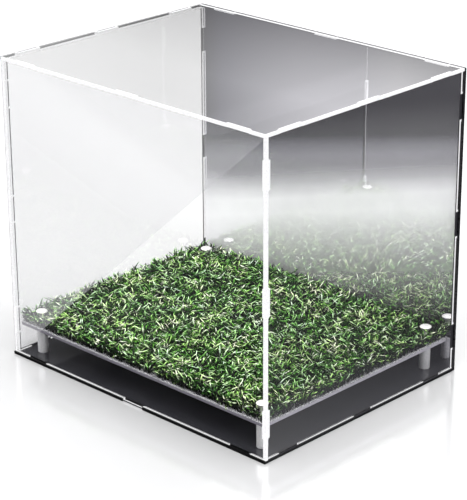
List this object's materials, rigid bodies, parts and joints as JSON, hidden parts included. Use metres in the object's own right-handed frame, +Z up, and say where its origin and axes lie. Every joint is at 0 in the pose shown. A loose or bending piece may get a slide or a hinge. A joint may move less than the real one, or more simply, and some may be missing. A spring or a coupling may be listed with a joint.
{
  "type": "football display case",
  "caption": "Clear tab-and-slot display case with a mirror back and a black base, over an artificial turf platform raised on standoffs.",
  "frame": {"origin": "middle of the base plate's underside", "axes": "+X to the right seen from the front, +Y towards the mirror back, +Z up"},
  "size_m": [0.38, 0.3, 0.34],
  "materials": {
    "clear_acrylic": "polished clear sheet with frosted white laser-cut edges",
    "black_acrylic": "polished black sheet",
    "platform_acrylic": "black sheet with grey laser-cut edges",
    "mirror_acrylic": "mirror face, black painted back and edges",
    "turf_backing": "woven backing with a latex coat",
    "turf_pile": "tufted synthetic grass blades in mixed greens",
    "standoff_metal": "polished barrel",
    "cap_metal": "bright domed head",
    "screw_steel": "zinc-plated countersunk head"
  },
  "bodies": {
    "base": {"base_plate": "black_acrylic", "platform_plate": "platform_acrylic", "turf_backing": "turf_backing", "turf_pile": "turf_pile", "standoff_front_left": "standoff_metal", "standoff_front_right": "standoff_metal", "standoff_back_left": "standoff_metal", "standoff_back_right": "standoff_metal", "cap_screw_front_left": "cap_metal", "cap_screw_front_right": "cap_metal", "cap_screw_back_left": "cap_metal", "cap_screw_back_right": "cap_metal", "base_screw_front_left": "screw_steel", "base_screw_front_right": "screw_steel", "base_screw_back_left": "screw_steel", "base_screw_back_right": "screw_steel"},
    "cover": {"front_panel": "clear_acrylic", "left_panel": "clear_acrylic", "right_panel": "clear_acrylic", "mirror_panel": "mirror_acrylic"},
    "top": {"top_panel": "clear_acrylic"}
  },
  "joints": [
    {"name": "cover_lift", "type": "slide", "parent": "base", "child": "cover", "axis": [0, 0, 1], "range_m": [0, 0.36]},
    {"name": "top_lift", "type": "slide", "parent": "cover", "child": "top", "axis": [0, 0, 1], "range_m": [0, 0.1]}
  ]
}
